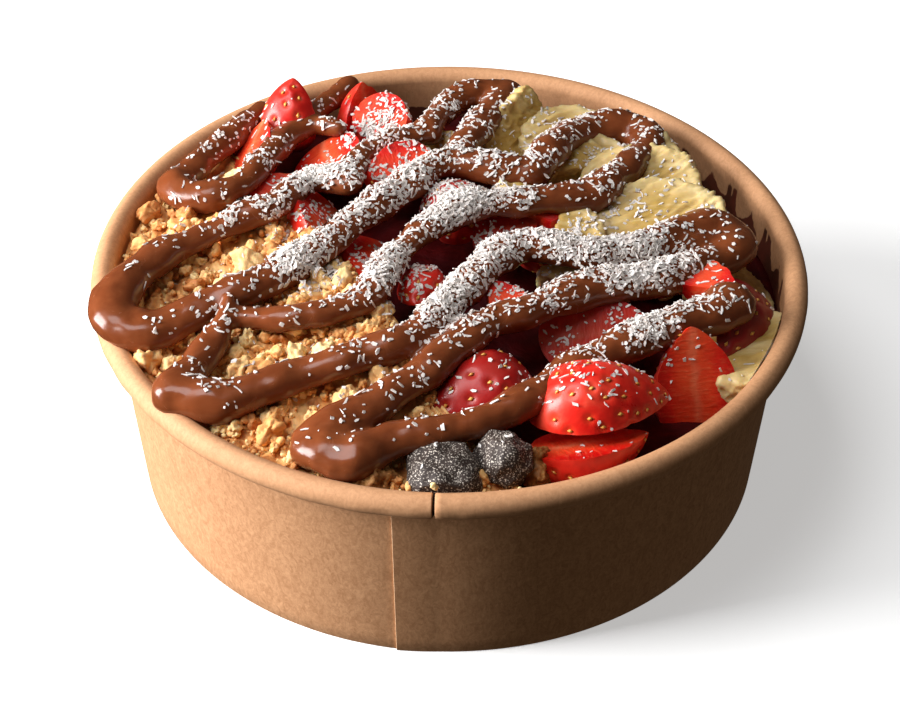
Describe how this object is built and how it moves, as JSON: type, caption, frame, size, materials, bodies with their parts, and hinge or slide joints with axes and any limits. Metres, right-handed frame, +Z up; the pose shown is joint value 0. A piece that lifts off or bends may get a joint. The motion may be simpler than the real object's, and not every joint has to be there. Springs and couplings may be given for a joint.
{
  "type": "acai bowl in a paper bowl",
  "caption": "Acai bowl in a round kraft paper bowl with a rolled rim, heaped with strawberry, banana, granola, chocolate pieces, thick sauce ropes and coconut flakes.",
  "frame": {"origin": "centre of the foot ring, on the surface that the bowl stands on", "axes": "+Z up through the open top, +X to the right and +Y to the back, with the wall seam at the front"},
  "size_m": [0.15, 0.15, 0.0587],
  "materials": {
    "kraft_paper": "matt brown kraft board, lighter raw edge at the seam",
    "acai": "moist dark purple fruit pulp",
    "granola": "dry golden baked oat clusters",
    "strawberry": "moist red skin with seeds, paler cut faces",
    "banana": "moist cream flesh",
    "dark_chocolate": "dusty dark chocolate with a pale bloom",
    "chocolate_sauce": "smooth glossy milk chocolate sauce",
    "roasted_nut": "browned nut pieces",
    "coconut": "dry white shredded coconut, on the sauce and fruit"
  },
  "bodies": {
    "root": {"paper_bowl": "kraft_paper", "acai_base": "acai", "granola_heap": "granola", "chocolate_chunk_1": "dark_chocolate", "chocolate_chunk_2": "dark_chocolate", "chocolate_chunk_3": "dark_chocolate", "chocolate_chunk_4": "dark_chocolate", "roasted_nut_1": "roasted_nut", "roasted_nut_2": "roasted_nut", "strawberry_01": "strawberry", "strawberry_02": "strawberry", "strawberry_03": "strawberry", "strawberry_04": "strawberry", "strawberry_05": "strawberry", "strawberry_06": "strawberry", "strawberry_07": "strawberry", "strawberry_08": "strawberry", "strawberry_09": "strawberry", "strawberry_10": "strawberry", "strawberry_11": "strawberry", "strawberry_12": "strawberry", "strawberry_13": "strawberry", "strawberry_14": "strawberry", "strawberry_15": "strawberry", "strawberry_16": "strawberry", "strawberry_17": "strawberry", "strawberry_18": "strawberry", "strawberry_19": "strawberry", "strawberry_20": "strawberry", "strawberry_21": "strawberry", "strawberry_22": "strawberry", "banana_01": "banana", "banana_02": "banana", "banana_03": "banana", "banana_04": "banana", "banana_05": "banana", "banana_06": "banana", "banana_07": "banana", "banana_08": "banana", "banana_09": "banana", "banana_10": "banana", "banana_11": "banana", "banana_12": "banana", "chocolate_drizzle_1": "chocolate_sauce", "chocolate_drizzle_2": "chocolate_sauce"}
  },
  "joints": []
}
